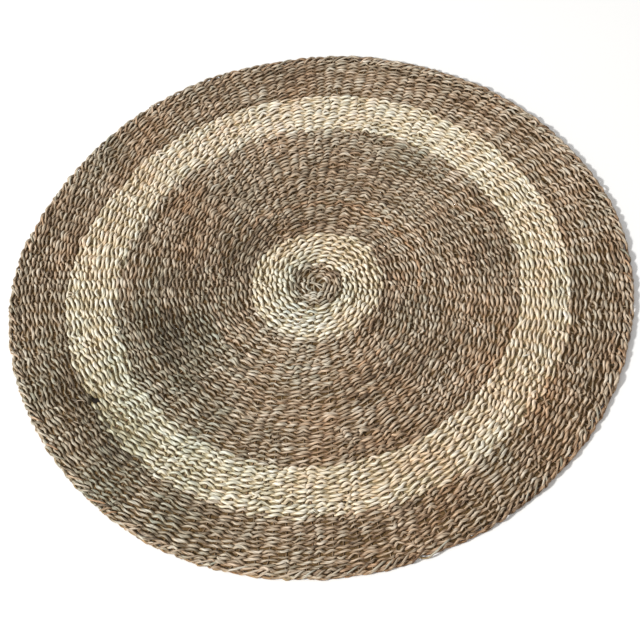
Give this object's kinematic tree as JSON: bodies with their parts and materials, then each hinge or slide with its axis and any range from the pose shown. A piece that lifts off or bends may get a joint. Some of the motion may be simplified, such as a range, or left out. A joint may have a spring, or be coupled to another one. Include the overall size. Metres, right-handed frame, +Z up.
{
  "type": "round seagrass rug",
  "caption": "Round flat rug, hand-twined in a spiral from brown and cream seagrass cord, with a cream ring round its middle, a cream band and a turned-in edge.",
  "frame": {"origin": "middle of the rug on its flat underside, where it rests on the floor", "axes": "+Z up out of the floor, +Y away from the viewer, +X to the right"},
  "size_m": [1.2052, 1.1966, 0.0133],
  "materials": {
    "brown_seagrass": "matt natural brown seagrass cord, twined",
    "cream_seagrass": "matt to satin pale cream seagrass cord, twined"
  },
  "bodies": {
    "root": {"woven_rug": "brown_seagrass"}
  },
  "joints": []
}
